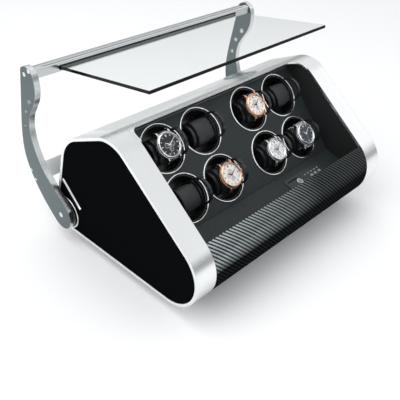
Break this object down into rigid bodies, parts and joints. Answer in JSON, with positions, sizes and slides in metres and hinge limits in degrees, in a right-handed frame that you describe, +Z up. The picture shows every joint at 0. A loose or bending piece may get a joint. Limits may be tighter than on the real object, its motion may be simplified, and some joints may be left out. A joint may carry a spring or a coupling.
{
  "type": "watch winder box",
  "caption": "Wedge-shaped watch winder box with turning cup holders on a sloped panel and a clear glass lid that swings up on two curved side arms.",
  "frame": {"origin": "on the floor the feet stand on, under the middle of the whole box's width and depth, open lid included", "axes": "+X to the box's right as seen from the front, +Y towards the back, +Z up"},
  "size_m": [0.4988, 0.3817, 0.3119],
  "materials": {
    "satin_aluminium": "satin brushed",
    "carbon_fibre": "glossy woven carbon-fibre laminate",
    "black_coated_metal": "fine matt black coating",
    "black_rubber": "matt",
    "grey_leather": "fine-grained dark grey leather",
    "control_fascia": "satin",
    "polished_chrome": "polished",
    "sheet_steel": "plain",
    "bronze": "turned bronze",
    "motor_steel": "plated",
    "circuit_board": "solder-masked glass-epoxy board",
    "black_plastic": "fine matt moulded",
    "cable_sheath": "soft plastic sheath",
    "clear_glass": "clear, polished edges",
    "cushion_fabric": "soft dark padded leather",
    "watch_case": "polished case on a dark strap",
    "pulley_plastic": "natural acetal",
    "belt_rubber": "flat rubber belt"
  },
  "bodies": {
    "box": {"left_end_frame": "satin_aluminium", "right_end_frame": "satin_aluminium", "side_panels": "carbon_fibre", "bulkheads": "black_coated_metal", "top_cover": "satin_aluminium", "rear_cover": "black_coated_metal", "front_apron": "carbon_fibre", "base_plate": "black_coated_metal", "rubber_feet": "black_rubber", "rotor_panel": "grey_leather", "ledge_panel": "grey_leather", "control_panel": "control_fascia", "bezel_rings": "polished_chrome", "drive_plate": "sheet_steel", "rotor_bushes": "bronze", "panel_standoffs": "sheet_steel", "drive_motors": "motor_steel", "drive_belts": "belt_rubber", "control_board": "circuit_board", "power_socket": "black_plastic", "wiring_loom": "cable_sheath", "pivot_hubs": "black_coated_metal", "arm_stop_rails": "polished_chrome", "top_plate": "satin_aluminium", "body_screws": "sheet_steel"},
    "lid": {"left_lid_arm": "satin_aluminium", "right_lid_arm": "satin_aluminium", "top_bar": "satin_aluminium", "glass_pane": "clear_glass", "glass_gasket": "black_rubber", "rear_crossbar": "satin_aluminium", "lid_screws": "sheet_steel", "pivot_spindles": "sheet_steel"},
    "button": {"program_button": "control_fascia"},
    "rotor_upper_1": {"rotor_upper_1": "black_plastic", "cushion_upper_1": "cushion_fabric", "watch_upper_1": "watch_case"},
    "rotor_lower_1": {"rotor_lower_1": "black_plastic", "cushion_lower_1": "cushion_fabric"},
    "motor_pulley_1": {"motor_pulley_1": "pulley_plastic"},
    "rotor_upper_2": {"rotor_upper_2": "black_plastic", "cushion_upper_2": "cushion_fabric"},
    "rotor_lower_2": {"rotor_lower_2": "black_plastic", "cushion_lower_2": "cushion_fabric", "watch_lower_2": "watch_case"},
    "motor_pulley_2": {"motor_pulley_2": "pulley_plastic"},
    "rotor_upper_3": {"rotor_upper_3": "black_plastic", "cushion_upper_3": "cushion_fabric", "watch_upper_3": "watch_case"},
    "rotor_lower_3": {"rotor_lower_3": "black_plastic", "cushion_lower_3": "cushion_fabric", "watch_lower_3": "watch_case"},
    "motor_pulley_3": {"motor_pulley_3": "pulley_plastic"},
    "rotor_upper_4": {"rotor_upper_4": "black_plastic", "cushion_upper_4": "cushion_fabric"},
    "rotor_lower_4": {"rotor_lower_4": "black_plastic", "cushion_lower_4": "cushion_fabric", "watch_lower_4": "watch_case"},
    "motor_pulley_4": {"motor_pulley_4": "pulley_plastic"}
  },
  "joints": [
    {"name": "lid_hinge", "type": "hinge", "parent": "box", "child": "lid", "pos_m": [0, 0.1032, 0.053], "axis": [1, 0, 0], "range_deg": [0, 46.65]},
    {"name": "button_press", "type": "slide", "parent": "box", "child": "button", "axis": [0, 0.2756, -0.9613], "range_m": [0, 0.0012]},
    {"name": "rotor_upper_1_spin", "type": "hinge", "parent": "box", "child": "rotor_upper_1", "pos_m": [-0.14, -0.0202, 0.1881], "axis": [0, -0.7547, 0.6561], "continuous": true},
    {"name": "rotor_lower_1_spin", "type": "hinge", "parent": "box", "child": "rotor_lower_1", "pos_m": [-0.14, -0.07433, 0.12584], "axis": [0, -0.7547, 0.6561], "continuous": true},
    {"name": "motor_pulley_1_spin", "type": "hinge", "parent": "box", "child": "motor_pulley_1", "pos_m": [-0.14, -0.04726, 0.15697], "axis": [0, -0.7547, 0.6561], "continuous": true},
    {"name": "rotor_upper_2_spin", "type": "hinge", "parent": "box", "child": "rotor_upper_2", "pos_m": [-0.058, -0.0202, 0.1881], "axis": [0, -0.7547, 0.6561], "continuous": true},
    {"name": "rotor_lower_2_spin", "type": "hinge", "parent": "box", "child": "rotor_lower_2", "pos_m": [-0.058, -0.07433, 0.12584], "axis": [0, -0.7547, 0.6561], "continuous": true},
    {"name": "motor_pulley_2_spin", "type": "hinge", "parent": "box", "child": "motor_pulley_2", "pos_m": [-0.058, -0.04726, 0.15697], "axis": [0, -0.7547, 0.6561], "continuous": true},
    {"name": "rotor_upper_3_spin", "type": "hinge", "parent": "box", "child": "rotor_upper_3", "pos_m": [0.058, -0.0202, 0.1881], "axis": [0, -0.7547, 0.6561], "continuous": true},
    {"name": "rotor_lower_3_spin", "type": "hinge", "parent": "box", "child": "rotor_lower_3", "pos_m": [0.058, -0.07433, 0.12584], "axis": [0, -0.7547, 0.6561], "continuous": true},
    {"name": "motor_pulley_3_spin", "type": "hinge", "parent": "box", "child": "motor_pulley_3", "pos_m": [0.058, -0.04726, 0.15697], "axis": [0, -0.7547, 0.6561], "continuous": true},
    {"name": "rotor_upper_4_spin", "type": "hinge", "parent": "box", "child": "rotor_upper_4", "pos_m": [0.14, -0.0202, 0.1881], "axis": [0, -0.7547, 0.6561], "continuous": true},
    {"name": "rotor_lower_4_spin", "type": "hinge", "parent": "box", "child": "rotor_lower_4", "pos_m": [0.14, -0.07433, 0.12584], "axis": [0, -0.7547, 0.6561], "continuous": true},
    {"name": "motor_pulley_4_spin", "type": "hinge", "parent": "box", "child": "motor_pulley_4", "pos_m": [0.14, -0.04726, 0.15697], "axis": [0, -0.7547, 0.6561], "continuous": true}
  ],
  "couplings": [
    {"joint": "rotor_lower_1_spin", "follows": "rotor_upper_1_spin", "ratio": 1},
    {"joint": "motor_pulley_1_spin", "follows": "rotor_upper_1_spin", "ratio": 4},
    {"joint": "rotor_lower_2_spin", "follows": "rotor_upper_2_spin", "ratio": 1},
    {"joint": "motor_pulley_2_spin", "follows": "rotor_upper_2_spin", "ratio": 4},
    {"joint": "rotor_lower_3_spin", "follows": "rotor_upper_3_spin", "ratio": 1},
    {"joint": "motor_pulley_3_spin", "follows": "rotor_upper_3_spin", "ratio": 4},
    {"joint": "rotor_lower_4_spin", "follows": "rotor_upper_4_spin", "ratio": 1},
    {"joint": "motor_pulley_4_spin", "follows": "rotor_upper_4_spin", "ratio": 4}
  ]
}
